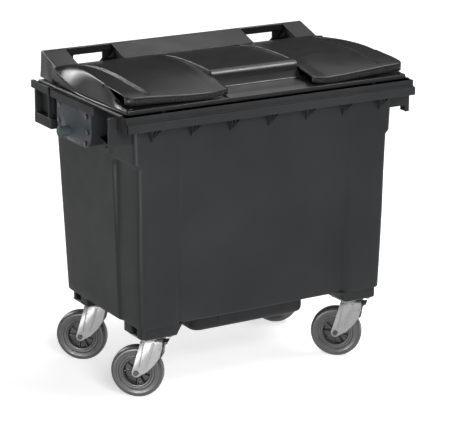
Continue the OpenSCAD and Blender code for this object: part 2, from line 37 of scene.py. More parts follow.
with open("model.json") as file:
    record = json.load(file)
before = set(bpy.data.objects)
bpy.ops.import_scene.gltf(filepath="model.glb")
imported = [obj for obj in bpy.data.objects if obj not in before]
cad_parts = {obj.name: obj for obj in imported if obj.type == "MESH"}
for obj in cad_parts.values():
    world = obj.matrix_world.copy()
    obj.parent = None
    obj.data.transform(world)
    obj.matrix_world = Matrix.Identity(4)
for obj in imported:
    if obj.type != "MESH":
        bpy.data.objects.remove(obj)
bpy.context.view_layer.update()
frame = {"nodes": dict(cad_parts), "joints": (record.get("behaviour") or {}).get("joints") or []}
MM = 0.001


def low_mm(node):
    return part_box(node)[0] / MM


def high_mm(node):
    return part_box(node)[1] / MM


# Driving sizes, read from the frame
RAIL_Z = round(high_mm("lid").z)
LID_REAR = round(high_mm("lid").y)
COMB_Y = -round(low_mm("tub").y)
PIN_Y = round((low_mm("trunnion_pin_left").y + high_mm("trunnion_pin_left").y) / 2)
PIN_Z = round((low_mm("trunnion_pin_left").z + high_mm("trunnion_pin_left").z) / 2)

# Sizes of the tub
BOTTOM_HALF, TOP_HALF = 533, 558
FRONT_LOW, FRONT_TOP = 307, 325
REAR_LOW, REAR_TOP = 305, 346
FLOOR_Z, RIM_Z = 290, 1118
WALL = 5
SETBACK, SETBACK_Y, SETBACK_Z = 13, -145, 915
PANEL_HALF, PANEL_DEPTH, PANEL_TOP = 366, 20, 1000
WELL_HALF, WELL_DEEP, WELL_Z = 252, 200, 205
PAD_Z = 252
COMB_HALF, COMB_PITCH = 616, 163
HANDLE_INNER, HANDLE_OUTER = 597, 626
BRACKET_X, BRACKET_Y = 649, -296

# Sizes of the trunnions, hinge and lid
PIN_ROOT = 634
HINGE_Y, HINGE_Z, HINGE_R = 366, 1116, 14
LUG_X, LUG_TOP = 388, 1134
NOTCH_HALF = 33
LID_LOW, LID_FRONT = 1121, -346
CROWN_Z, CROWN_R = 1207, 1450
LID_HALF, CREASE_X = 590, 597
FLAP_FRONT, FLAP_FREE = -336, -149
ROLL_POWER = 1.7
HOOD_HALF = 183
BLOCK_END, BAY_OUTER, BAY_INNER = 578, 486, 289

# Sizes of the castors
FORK_HALF, FORK_SHEET, FORK_TOP = 33, 4, 232
FORK_FRONT, FORK_BACK = -46, 35
VANES = 9

SIDES = ((-1, "left"), (1, "right"))


# ---------- materials ----------

def new_material(name):
    """An empty material with one shader, and the nodes to build it up with."""
    material = bpy.data.materials.new(name)
    material.use_nodes = True
    tree = material.node_tree
    tree.nodes.clear()
    out = tree.nodes.new("ShaderNodeOutputMaterial")
    shader = tree.nodes.new("ShaderNodeBsdfPrincipled")
    tree.links.new(shader.outputs[0], out.inputs[0])
    return material, tree, shader


def noise(tree, scale, detail=4.0, stretch=(1, 1, 1)):
    """Noise in object space, its features about 1 / scale metres across."""
    place = tree.nodes.new("ShaderNodeTexCoord")
    turn = tree.nodes.new("ShaderNodeMapping")
    turn.inputs["Scale"].default_value = stretch
    texture = tree.nodes.new("ShaderNodeTexNoise")
    texture.inputs["Scale"].default_value = scale
    texture.inputs["Detail"].default_value = detail
    tree.links.new(place.outputs["Object"], turn.inputs[0])
    tree.links.new(turn.outputs[0], texture.inputs["Vector"])
    return texture.outputs["Fac"]


def ramp(tree, source, low, high, start=0.35, end=0.65):
    """Colours between low and high, following source."""
    node = tree.nodes.new("ShaderNodeValToRGB")
    node.color_ramp.elements[0].position = start
    node.color_ramp.elements[0].color = (*low, 1)
    node.color_ramp.elements[1].position = end
    node.color_ramp.elements[1].color = (*high, 1)
    tree.links.new(source, node.inputs[0])
    return node.outputs[0]


def spread(tree, source, low, high):
    """A number between low and high, following source."""
    node = tree.nodes.new("ShaderNodeMapRange")
    node.inputs["From Min"].default_value = 0.3
    node.inputs["From Max"].default_value = 0.7
    node.inputs["To Min"].default_value = low
    node.inputs["To Max"].default_value = high
    tree.links.new(source, node.inputs["Value"])
    return node.outputs[0]


def bump(tree, shader, layers):
    """Stacked bump layers, each (source, height in metres)."""
    normal = None
    for source, height in layers:
        node = tree.nodes.new("ShaderNodeBump")
        node.inputs["Distance"].default_value = height
        tree.links.new(source, node.inputs["Height"])
        if normal:
            tree.links.new(normal, node.inputs["Normal"])
        normal = node.outputs[0]
    tree.links.new(normal, shader.inputs["Normal"])


def worn_edges(tree, colour, worn, strength):
    """Mixes a lighter colour in where the surface turns a sharp edge, broken up by noise."""
    geometry = tree.nodes.new("ShaderNodeNewGeometry")
    edge = tree.nodes.new("ShaderNodeMapRange")
    edge.inputs["From Min"].default_value = 0.51
    edge.inputs["From Max"].default_value = 0.60
    edge.inputs["To Max"].default_value = strength
    tree.links.new(geometry.outputs["Pointiness"], edge.inputs["Value"])
    breaks = tree.nodes.new("ShaderNodeMath")
    breaks.operation = "MULTIPLY"
    tree.links.new(edge.outputs[0], breaks.inputs[0])
    tree.links.new(noise(tree, 60), breaks.inputs[1])
    mix = tree.nodes.new("ShaderNodeMix")
    mix.data_type = "RGBA"
    mix.inputs["B"].default_value = (*worn, 1)
    tree.links.new(breaks.outputs[0], mix.inputs["Factor"])
    tree.links.new(colour, mix.inputs["A"])
    return mix.outputs["Result"]


def moulded_plastic(name, dark, light, rough, sheen=0.3, grain=0.00006):
    """Dark polyethylene: fine moulded grain, slow colour drift, slightly scuffed edges."""
    material, tree, shader = new_material(name)
    drift = noise(tree, 3.0, 5.0)
    colour = ramp(tree, drift, dark, light)
    worn = tuple(min(1, c * 2.2) for c in light)
    tree.links.new(worn_edges(tree, colour, worn, 0.15), shader.inputs["Base Color"])
    tree.links.new(spread(tree, noise(tree, 14), rough - 0.04, rough + 0.05), shader.inputs["Roughness"])
    shader.inputs["Specular IOR Level"].default_value = sheen
    bump(tree, shader, [(noise(tree, 900, 2.0), grain), (noise(tree, 7, 2.0), 0.0002)])
    return material


def coated_metal(name, dark, light, rough, metallic=0.0, sheen=0.5):
    """Painted or plated steel with slight orange peel and dull patches."""
    material, tree, shader = new_material(name)
    colour = ramp(tree, noise(tree, 24, 6.0), dark, light)
    worn = tuple(min(1, c * 1.8) for c in light)
    tree.links.new(worn_edges(tree, colour, worn, 0.6), shader.inputs["Base Color"])
    tree.links.new(spread(tree, noise(tree, 45), rough - 0.06, rough + 0.08), shader.inputs["Roughness"])
    shader.inputs["Metallic"].default_value = metallic
    shader.inputs["Specular IOR Level"].default_value = sheen
    bump(tree, shader, [(noise(tree, 320, 2.0), 0.00004)])
    return material


def galvanised(name, dark, light):
    """Zinc-coated steel: crystalline spangle and brushed streaks."""
    material, tree, shader = new_material(name)
    place = tree.nodes.new("ShaderNodeTexCoord")
    spangle = tree.nodes.new("ShaderNodeTexVoronoi")
    spangle.inputs["Scale"].default_value = 190
    tree.links.new(place.outputs["Object"], spangle.inputs["Vector"])
    colour = ramp(tree, spangle.outputs["Distance"], light, dark, 0.1, 0.9)
    tree.links.new(colour, shader.inputs["Base Color"])
    tree.links.new(spread(tree, noise(tree, 40, 4.0, (1, 1, 6)), 0.34, 0.50), shader.inputs["Roughness"])
    shader.inputs["Metallic"].default_value = 0.35
    bump(tree, shader, [(noise(tree, 260, 3.0, (1, 1, 8)), 0.00003)])
    return material


def rubber_look(name, dark, light):
    """Solid rubber tyre: dusty and matt, with a fine pitted skin."""
    material, tree, shader = new_material(name)
    dust = noise(tree, 18, 6.0)
    tree.links.new(ramp(tree, dust, dark, light), shader.inputs["Base Color"])
    tree.links.new(spread(tree, noise(tree, 60), 0.32, 0.44), shader.inputs["Roughness"])
    bump(tree, shader, [(noise(tree, 700, 3.0), 0.00008)])
    return material


TUB_LOOK = (moulded_plastic("tub_moulding", (0.020, 0.021, 0.022), (0.025, 0.026, 0.027), 0.42, 0.06),
            "tub_plastic")
LID_LOOK = (moulded_plastic("lid_moulding", (0.009,) * 3, (0.012, 0.012, 0.013), 0.34, 0.21), "lid_plastic")
TRUNNION_LOOK = (coated_metal("trunnion_coat", (0.036, 0.045, 0.051), (0.042, 0.052, 0.058), 0.45, 0.0, 0.12),
                 "trunnion_paint")
ZINC_LOOK = (galvanised("castor_galvanising", (0.20, 0.20, 0.20), (0.25, 0.25, 0.25)), "castor_zinc")
BOLT_LOOK = (coated_metal("fastener_plating", (0.10,) * 3, (0.17,) * 3, 0.35, 0.7), "fastener_zinc")
# Dark fasteners. The same dark colour also paints the shade of the fork legs' holes.
DARK_BOLT_AND_HOLE_SHADE_LOOK = (coated_metal("dark_fastener_and_hole_shade", (0.008,) * 3, (0.014,) * 3, 0.4), "fastener_zinc")
TYRE_LOOK = (rubber_look("tyre_skin", (0.036,) * 3, (0.056,) * 3), "tyre_rubber")
WHEEL_LOOK = (moulded_plastic("wheel_moulding", (0.006,) * 3, (0.010,) * 3, 0.30, 0.6), "wheel_plastic")
BRAKE_LOOK = (coated_metal("brake_coat", (0.006,) * 3, (0.012,) * 3, 0.38), "brake_paint")
RUBBER_LOOK = (rubber_look("soft_parts", (0.012,) * 3, (0.022,) * 3), "soft_rubber")
PLUG_LOOK = (moulded_plastic("plug_moulding", (0.014,) * 3, (0.020,) * 3, 0.42), "plug_plastic")


# ---------- mesh building ----------

def make_piece(name, verts, faces, look, body, bevel=0.0, segments=3, angle=32, move=None):
    """A closed mesh, with its edges rounded by bevel, riding on body."""
    material, slot = look
    mesh = bpy.data.meshes.new(name)
    mesh.from_pydata([Vector(v) * MM for v in verts], [], faces)
    work = bmesh.new()
    work.from_mesh(mesh)
    bmesh.ops.remove_doubles(work, verts=work.verts, dist=0.00001)
    if move:
        work.transform(move)
    bmesh.ops.recalc_face_normals(work, faces=work.faces)
    for face in work.faces:
        face.smooth = True
    work.to_mesh(mesh)
    work.free()
    mesh.materials.append(material)
    obj = bpy.data.objects.new(name, mesh)
    bpy.context.scene.collection.objects.link(obj)
    if bevel:
        rounding = obj.modifiers.new("edges", "BEVEL")
        rounding.width = bevel * MM
        rounding.segments = segments
        rounding.limit_method = "ANGLE"
        rounding.angle_limit = math.radians(angle)
        rounding.use_clamp_overlap = True
        rounding.miter_outer = "MITER_ARC"
        shading = obj.modifiers.new("shading", "WEIGHTED_NORMAL")
        shading.keep_sharp = False
    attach(obj, body)
    return obj


def prism_mesh(axis, outline, lo, hi):
    """A closed outline drawn out along an axis. Its points are (y, z), (x, z) or (x, y)."""
    def point(p, t):
        return {"x": (t, p[0], p[1]), "y": (p[0], t, p[1]), "z": (p[0], p[1], t)}[axis]
    count = len(outline)
    verts = [point(p, lo) for p in outline] + [point(p, hi) for p in outline]
    faces = [tuple(range(count)), tuple(range(2 * count - 1, count - 1, -1))]
    faces += [(i, (i + 1) % count, count + (i + 1) % count, count + i) for i in range(count)]
    return verts, faces


def loft_mesh(rings, cap=True):
    """Skin over a list of rings that have the same number of points."""
    count = len(rings[0])
    verts = [p for ring in rings for p in ring]
    faces = []
    for k in range(len(rings) - 1):
        for i in range(count):
            j = (i + 1) % count
            faces.append((k * count + i, k * count + j, (k + 1) * count + j, (k + 1) * count + i))
    if cap:
        faces.append(tuple(range(count)))
        faces.append(tuple(range(len(verts) - count, len(verts))))
    return verts, faces


def turned_mesh(outline, steps=96):
    """A closed outline of (radius, offset) turned about the Y axis."""
    rings = []
    for k in range(steps):
        a = 2 * math.pi * k / steps
        rings.append([(r * math.cos(a), t, r * math.sin(a)) for r, t in outline])
    return loft_mesh(rings + [rings[0]], cap=False)


def joined(meshes):
    """Several meshes as one."""
    verts, faces = [], []
    for part_verts, part_faces in meshes:
        start = len(verts)
        verts += part_verts
        faces += [tuple(i + start for i in face) for face in part_faces]
    return verts, faces


def box_mesh(low, high):
    """A box between two opposite corners."""
    return prism_mesh("z", [(low[0], low[1]), (high[0], low[1]), (high[0], high[1]), (low[0], high[1])],
                      low[2], high[2])


def flipped(side, mesh):
    """The mesh as drawn on the +X side, or its mirror image for side 1."""
    verts, faces = mesh
    return [(-side * x, y, z) for x, y, z in verts], faces


def arc(cx, cy, r, start, end, steps):
    """Points along a round stretch, with its two angles in degrees."""
    points = []
    for i in range(steps + 1):
        a = math.radians(start + (end - start) * i / steps)
        points.append((cx + r * math.cos(a), cy + r * math.sin(a)))
    return points


def smooth_step(low, high, value):
    """Rises gently from 0 to 1 as value goes from low to high."""
    t = min(1, max(0, (value - low) / (high - low)))
    return t * t * (3 - 2 * t)


def span(start, end, steps):
    """Evenly spaced numbers from start to end."""
    return [start + (end - start) * i / steps for i in range(steps + 1)]


# ---------- tub ----------

def wall_at(low, high, z):
    """Place of a sloping wall at height z, between its places at the floor and the rim."""
    return low + (high - low) * (z - FLOOR_Z) / (RIM_Z - FLOOR_Z)


def setback_at(y, z):
    """Depth of the set-back at the front corners, shallower lower down; its upper corner is rounded."""
    r = 26
    across = y - SETBACK_Y + r
    above = z - SETBACK_Z + r
    distance = math.hypot(max(across, 0), max(above, 0)) + min(max(across, above), 0) - r
    depth = SETBACK * (0.5 + 0.5 * smooth_step(500, 850, z))
    return depth * (1 - smooth_step(-9, 9, distance))


def ring(half, front, rear, r_front, r_rear, z, shaped=False, shrink=(1, 1)):
    """Plan outline at height z, with the same number of points at every height.

    A shaped one has the sunk front panel and the set-back corners. shrink moves the points between
    the corners closer together, for an outline that is smaller than the tub.
    """
    inner = PANEL_HALF + 10
    edge = [inner, 372, 369, 366, 363, 360, 356]
    xs = [-x for x in edge] + [-240, -120]
    xs = [x * shrink[0] for x in xs + [0] + [-x for x in reversed(xs)]]
    corner = span(-(half - r_front), xs[0], 5)[:-1]
    xs = corner + xs + [-x for x in reversed(corner)]
    ys = [y * shrink[1] for y in [-250, -215] + span(-190, -110, 27) + [-60, 0, 60, 120, 180, 230]]
    base = arc(-half + r_front, -front + r_front, r_front, 180, 270, 10)[:-1]
    base += [(x, -front) for x in xs]
    base += arc(half - r_front, -front + r_front, r_front, 270, 360, 10)[1:]
    base += [(half, y) for y in ys]
    base += arc(half - r_rear, rear - r_rear, r_rear, 0, 90, 10)
    base += [(x, rear) for x in reversed(span(-(half - r_rear), half - r_rear, 8)[1:-1])]
    base += arc(-half + r_rear, rear - r_rear, r_rear, 90, 180, 10)
    base += [(-half, y) for y in reversed(ys)]
    points = []
    for x, y in base:
        if shaped:
            share = min(1, max(0, (abs(x) - inner) / (half - r_front - inner)))
            x -= math.copysign(share * setback_at(y, z), x)
            if y < -200 and abs(x) <= inner:
                depth = PANEL_DEPTH * max(0, PANEL_TOP - z) / (PANEL_TOP - FLOOR_Z)
                y += depth * (1 - smooth_step(356, inner, abs(x)))
        points.append((x, y, z))
    return points


def tub_ring(z, skin):
    half = wall_at(BOTTOM_HALF, TOP_HALF, z) - skin
    front = wall_at(FRONT_LOW, FRONT_TOP, z) - skin
    rear = wall_at(REAR_LOW, REAR_TOP, z) - skin
    return ring(half, front, rear, 25 - skin / 2, 35 - skin / 2, z, shaped=True)


def well_ring(z, skin, corner=45):
    half, deep = WELL_HALF - skin, WELL_DEEP - skin
    r = max(2, corner - skin)
    return ring(half, deep, deep, r, r, z, shrink=((half - r) / BOTTOM_HALF, (deep - r) / REAR_LOW))


def tub_shell():
    """The container's walls and floor with the well in it, skinned outside and inside."""
    edge_r, well_r = 9, 22
    heights = [330, 450, 600, 760, 860] + span(880, 930, 20) + [965, PANEL_TOP, 1050, RIM_Z - 2]
    rings = [well_ring(WELL_Z, 20)]
    for a in (20, 45, 70, 90):
        lift = well_r * (1 - math.cos(math.radians(a)))
        inset = well_r * (1 - math.sin(math.radians(a)))
        rings.append(well_ring(WELL_Z + lift, inset))
    rings.append(well_ring(FLOOR_Z, 0))
    for a in (0, 20, 40, 60, 90):
        lift = edge_r * (1 - math.cos(math.radians(a)))
        inset = edge_r * (1 - math.sin(math.radians(a)))
        rings.append(tub_ring(FLOOR_Z + lift, inset))
    rings += [tub_ring(z, 0) for z in heights]
    rings += [tub_ring(z, WALL) for z in reversed(heights)]
    rings.append(tub_ring(FLOOR_Z + WALL, WALL + 3))
    rings.append(well_ring(FLOOR_Z + WALL, WALL))
    rings.append(well_ring(WELL_Z + 20, WALL))
    rings.append(well_ring(WELL_Z + WALL, 24))
    piece = make_piece("tub_shell", *loft_mesh(rings), TUB_LOOK, "tub")
    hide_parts("tub")


def tub_part(name, mesh, bevel=1.4):
    return make_piece(name, *mesh, TUB_LOOK, "tub", bevel=bevel)


def comb_rib_mesh(x):
    """Two inclined webs and an upright one, with their front edges on a slope to the wall."""
    web, low, high, half = 3, 1008, 1066, 21.5
    meshes = []
    for s in (-1, 1):
        near = [(x + s * half, -COMB_Y + 4, high), (x + s * half, -FRONT_TOP + 6, high),
                (x, -FRONT_TOP + 8, low), (x, -FRONT_TOP - 1, low)]
        far = [(px - s * web, py, pz + (web if pz == low else 0)) for px, py, pz in near]
        meshes.append((near + far, [(0, 1, 2, 3), (7, 6, 5, 4), (0, 4, 5, 1), (1, 5, 6, 2),
                                    (2, 6, 7, 3), (3, 7, 4, 0)]))
    upright = [(-COMB_Y + 6, high), (-FRONT_TOP + 6, high), (-FRONT_TOP + 6, low + 3),
               (-FRONT_TOP - 3, low + 3)]
    meshes.append(prism_mesh("x", upright, x - web / 2, x + web / 2))
    return joined(meshes)


def comb_rim():
    """The comb along the front, with the flange round the tub's top."""
    profile = [(-FRONT_TOP + WALL, RIM_Z), (-362, RIM_Z), (-367, RIM_Z + 2), (-367, 1096),
               (-COMB_Y, 1093), (-COMB_Y, 1063), (-COMB_Y + WALL, 1063), (-COMB_Y + WALL, 1088),
               (-362, 1091), (-362, RIM_Z - 4), (-FRONT_TOP + WALL, RIM_Z - 6)]
    tub_part("comb_rim", prism_mesh("x", profile, -COMB_HALF, COMB_HALF))
    tub_part("comb_ribs", joined([comb_rib_mesh(i * COMB_PITCH) for i in range(-3, 4)]), 0.7)
    level = [ring(TOP_HALF - WALL, FRONT_TOP - WALL, REAR_TOP - WALL, 22, 32, RIM_Z - 6),
             ring(611, 361, 350, 5, 5, RIM_Z - 6), ring(611, 361, 350, 5, 5, RIM_Z),
             ring(TOP_HALF - WALL, FRONT_TOP - WALL, REAR_TOP - WALL, 22, 32, RIM_Z)]
    verts, faces = loft_mesh(level + [level[0]], cap=False)
    tub_part("rim_flange", (verts, faces), 0)
    tub_part("rear_strip", box_mesh((-HANDLE_INNER, 344, 1086), (HANDLE_INNER, 350, RIM_Z)))


def side_rim(side, word):
    """End of the comb, and the hood with its webs above a trunnion."""
    def add(name, mesh, bevel=1.4):
        tub_part(f"{name}_{word}", flipped(side, mesh), bevel)
    end_cap = [(-COMB_Y, 1093), (-COMB_Y, 1063), (-300, 1063), (-300, RIM_Z), (-367, RIM_Z), (-367, 1096)]
    add("comb_end", prism_mesh("x", end_cap, COMB_HALF - WALL, COMB_HALF))
    add("hood_skirt", box_mesh((616, -130, 1080), (622, 224, 1114)))
    add("hood_top", box_mesh((550, -130, RIM_Z - 10), (622, 224, RIM_Z - 4)))
    web = [(614, RIM_Z - 6), (550, RIM_Z - 6), (546, 955), (614, 1018)]
    for y, where in ((-100, "front"), (218, "rear")):
        add(f"hood_web_{where}", prism_mesh("y", web, y, y + 6))


def corner_bracket(side, word):
    """Bracket at a front corner: an apron cut out beside the wall, a leg and a raised column.

    The sloping rib on the side wall is drawn here too.
    """
    def add(name, mesh, bevel=1.4):
        tub_part(f"{name}_{word}", flipped(side, mesh), bevel)
    outer, y, leg_in = BRACKET_X, BRACKET_Y, BRACKET_X - 18
    apron = [(outer, 1104), (outer, 978), (leg_in, 978), (leg_in, 995)] + arc(leg_in - 8, 995, 8, 0, 90, 6) \
        + [(548, 1003), (548, RIM_Z - 3), (611, RIM_Z - 3), (611, 1112), (outer - 8, 1112)]
    add("bracket_apron", prism_mesh("y", apron, y - 3, y + 3))
    add("bracket_leg", box_mesh((leg_in + 1, y - 2, 979), (outer - 1, y + 34, 998)))
    column = [(outer, 1104), (outer, 1064), (613, 1064), (613, 1112), (outer - 8, 1112)]
    add("bracket_column", prism_mesh("y", column, y - 7, y + 3), 3)
    add("wall_rib", prism_mesh("x", [(-80, 996), (-80, 990), (-165, 966), (-165, 972)], 546, 580), 0.8)


def rear_handle(side, word):
    """Hand-hold at a rear corner: a closed box with a bar along its outer edge."""
    def add(name, low, high, bevel=1.4):
        tub_part(f"handle_{name}_{word}", flipped(side, box_mesh(low, high)), bevel)
    outer, low = HANDLE_OUTER, 955
    add("bar", (outer - 14, 232, 1084), (outer, COMB_Y, 1114), 3)
    add("post", (HANDLE_INNER + 1, 340, low + 3), (outer - 1, 353, 1095), 2)
    add("foot", (HANDLE_INNER, 212, low), (outer, 354, low + 40), 3)
    add("front", (548, 232, low + 2), (outer - 2, 240, 1113))
    add("base", (548, 213, low + 1), (outer - 3, 332, low + 18))
    add("back", (HANDLE_INNER + 0.5, 233, low + 4), (HANDLE_INNER + 6, 352, 1112))
    add("web", (540, 324, low + 5), (HANDLE_INNER + 1, 331, 1111))


def pad_ring(inner, y0, y1, r0, r1, z):
    """Plan outline of a castor pad, its outer corners rounded by r0 in front and r1 behind."""
    outer = 518
    points = [(inner, y1), (inner, y0)] + arc(outer - r0, y0 + r0, r0, 270, 360, 8)
    points += arc(outer - r1, y1 - r1, r1, 0, 90, 8)
    return [(x, y, z) for x, y in points]


def castor_pads(side, word):
    """Pads under the corners, each in two blocks with a hollow between them."""
    blocks = (("front", -FRONT_LOW + 8, -250, 25, 4), ("front_inner", -208, -150, 4, 4),
              ("rear", 250, 296, 4, 40), ("rear_inner", 150, 208, 4, 4))
    for where, y0, y1, r0, r1 in blocks:
        mesh = loft_mesh([pad_ring(375, y0, y1, r0, r1, PAD_Z), pad_ring(350, y0, y1, r0, r1, FLOOR_Z + 3)])
        tub_part(f"castor_pad_{where}_{word}", flipped(side, mesh), 2)
    for y0, y1, where in ((-255, -200, "front"), (200, 255, "rear")):
        core = [(352, FLOOR_Z + 3), (375, PAD_Z + 1), (496, PAD_Z + 1), (496, FLOOR_Z + 3)]
        tub_part(f"castor_pad_core_{where}_{word}", flipped(side, prism_mesh("y", core, y0, y1)), 1)


def hinge_lugs():
    """Two lugs at each hinge station, one on each side of the lid's knuckle."""
    thick = 14
    meshes = []
    for x in (-LUG_X, LUG_X):
        for dx in (-31, 17):
            lug = [(344, 1092), (346, HINGE_Z)] + arc(HINGE_Y, HINGE_Z, HINGE_R, 160, -40, 14)
            meshes.append(prism_mesh("x", lug, x + dx, x + dx + thick))
    tub_part("hinge_lugs", joined(meshes))


# ---------- trunnions ----------

def trunnion(side, word):
    """Seat of a lifting pin, with its plate and the faceted cone that carries the pin."""
    def outline(inset):
        half, foot, low, top = 140 - inset, 88 - inset, 938 + inset, 1090 - inset
        points = [(half, top), (-half, top), (-half, 1000), (-half + 10, 968), (-half + 22, 952),
                  (-foot, low), (foot, low), (half - 22, 952), (half - 10, 968), (half, 1000)]
        return [(y + PIN_Y, z) for y, z in points]
    tub_part(f"trunnion_seat_{word}", flipped(side, prism_mesh("x", outline(3), 549, 606)), 2)
    plate = make_piece(f"trunnion_base_{word}", *flipped(side, prism_mesh("x", outline(0), 606, 612)),
                       TRUNNION_LOOK, "tub", bevel=1.5)
    base = [(-38, 92), (126, 92), (128, 34), (95, -8), (48, -46), (-48, -46), (-95, -8), (-70, 34)]
    tip = [(24 * math.cos(math.radians(a)), 24 * math.sin(math.radians(a)))
           for a in (105, 55, 15, -22.5, -67.5, -112.5, -157.5, 150)]
    rings = [[(611, PIN_Y + y, PIN_Z + z) for y, z in base],
             [(PIN_ROOT, PIN_Y + y, PIN_Z + z) for y, z in tip]]
    cone = make_piece(f"trunnion_pyramid_{word}", *flipped(side, loft_mesh(rings)), TRUNNION_LOOK,
                      "tub", bevel=2.5)
    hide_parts(f"trunnion_plate_{word}")
    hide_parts(f"trunnion_plate_{word}")


# ---------- lid ----------

def lid_part(name, mesh, bevel=1.6, angle=32):
    return make_piece(name, *mesh, LID_LOOK, "lid", bevel=bevel, angle=angle)


def crown_at(y):
    return CROWN_Z - CROWN_R + math.sqrt(CROWN_R ** 2 - y ** 2)


def crease_at(y):
    """Height of the crease along the lid's side, lowest a little in front of the middle."""
    if y > -34:
        crease = 1126 + 57 * ((y + 34) / 272) ** 2.3
    else:
        crease = 1126 + 10 * ((-34 - y) / 288) ** 1.5
    return min(crease, crown_at(y) - 4)


def roll_start(y):
    """Where the lid's side starts to roll over from the flap's upper face; further in at the rear."""
    return LID_HALF - 6 - 46 * smooth_step(-150, 230, y)


def side_roll(x, y, top):
    """Height of the rolled side at x, between its top and the crease."""
    t = min(1, max(0, (x - roll_start(y)) / (CREASE_X - roll_start(y))))
    return crease_at(y) + (top - crease_at(y)) * (1 - t ** ROLL_POWER)


def flap_top(x, y):
    """Height of a flap's upper face, rising at its outer front corner; x counts outwards."""
    z = crown_at(y)
    z += 7 * (1 - smooth_step(HOOD_HALF, HOOD_HALF + 70, x)) * smooth_step(270, 120, y)
    z += (16 * smooth_step(250, 580, x) - 3) * smooth_step(-150, FLAP_FRONT, y)
    for line in (491, 499, 507):
        z -= 2.6 * math.exp(-((x - line) / 1.5) ** 2) * smooth_step(-330, -300, y)
    if y > FLAP_FREE and x > roll_start(y):
        z = side_roll(x, y, z) - 1
    return z


def flap(side, word):
    """The upper sheet of a flap: free at the front, where it turns down into a serrated skirt."""
    xs = [HOOD_HALF - 2] + span(190, 260, 10) + [340, 420, 480] + span(486, 512, 26) \
        + [530, 555, 570] + span(575, LID_HALF, 15)
    rings = []
    for x in xs:
        corner = 22
        over = max(0, x - LID_HALF + corner)
        front = FLAP_FRONT + corner - math.sqrt(max(0, corner ** 2 - over ** 2))
        ys = span(front, front + 8, 8)[:-1] + span(front + 8, 262, 40)
        skirt = 17 + 8 * smooth_step(200, 580, x)
        top = []
        below = []
        for y in ys:
            z = flap_top(x, y)
            top.append((x, y, z - 4 * (1 - smooth_step(front, front + 4, y)) ** 2))
            below.append((x, y, z - 3.5 - skirt * (1 - smooth_step(front + 3, front + 5, y))))
        rings.append(top + list(reversed(below)))
    lid_part(f"flap_{word}", flipped(side, loft_mesh(rings)), 0)
    teeth = []
    for i in range(45):
        x = 200 + 8 * i
        z = flap_top(x, FLAP_FRONT) - 3
        teeth.append(box_mesh((x, FLAP_FRONT - 2, z - 19), (x + 4, FLAP_FRONT + 3, z - 6)))
    lid_part(f"flap_serration_{word}", flipped(side, joined(teeth)), 0.6)


def fairing(side, word):
    """The lid's closed side: a bulge that rolls over from the flap, a crease and a lower band."""
    rings = []
    for y in span(-342, 254, 74):
        crease = crease_at(y)
        free = smooth_step(FLAP_FREE, -325, y)
        joint = crown_at(y)
        top = joint + (crease + 7 - joint) * free
        start = roll_start(y) - 8 * free
        reach = CREASE_X - start
        upper = [(start + reach * t, crease + (top - crease) * (1 - t ** ROLL_POWER)) for t in span(0, 1, 16)]
        lower = [(CREASE_X - 2, crease - 2), (CREASE_X + 1, (crease + LID_LOW) / 2), (CREASE_X + 3, LID_LOW)]
        inner = [(CREASE_X - 2, LID_LOW), (CREASE_X - 6, crease - 3), (start - 4, top - 5)]
        rings.append([(x, y, z) for x, z in upper + lower + inner])
    lid_part(f"side_fairing_{word}", flipped(side, loft_mesh(rings)), 0)
    cheek = []
    for y in span(246, LID_REAR, 10):
        top = min(RAIL_Z, 1183 + (y - 254) * 0.336)
        flare = CREASE_X - 13 * smooth_step(246, LID_REAR, y)
        cheek.append([(BLOCK_END - 6, y, top), (BLOCK_END, y, top), (BLOCK_END + 3, y, top - 3),
                      (flare, y, 1150), (flare + 3, y, LID_LOW), (flare - 3, y, LID_LOW),
                      (BLOCK_END - 6, y, 1160)])
    lid_part(f"rear_cheek_{word}", flipped(side, loft_mesh(cheek)), 1.5)


def base_frame(side, word):
    """The lower part of the lid in front of a flap, and the rear wall, notched over the hinge lugs."""
    profile = [(LID_FRONT, LID_LOW), (LID_FRONT, 1137), (-318, 1141), (-262, 1149), (-240, 1160),
               (-240, 1154), (-258, 1144), (-316, 1136), (LID_FRONT + WALL, 1132),
               (LID_FRONT + WALL, LID_LOW)]
    lid_part(f"front_lip_{word}", flipped(side, prism_mesh("x", profile, HOOD_HALF, 593)), 2)
    back = [(262, 1181), (300, 1174), (LID_REAR, 1152), (LID_REAR, LID_LOW), (LID_REAR - WALL, LID_LOW),
            (LID_REAR - WALL, 1148), (298, 1168), (262, 1175)]
    notched = [(y, max(z, LUG_TOP)) if y > 300 else (y, z) for y, z in back]
    notch = (LUG_X - NOTCH_HALF, LUG_X + NOTCH_HALF)
    strips = ((back, HOOD_HALF, notch[0]), (notched, *notch), (back, notch[1], BLOCK_END))
    for i, (outline, x0, x1) in enumerate(strips):
        lid_part(f"rear_skin_{word}_{i + 1}", flipped(side, prism_mesh("x", outline, x0, x1)), 0.5)


def ridge_at(y):
    """Height of the ridge along each side of the hood."""
    if y > -56:
        return 1221 - 44 * ((y + 56) / 298) ** 2.6
    return 1221 - 6 * ((-56 - y) / 142) ** 2


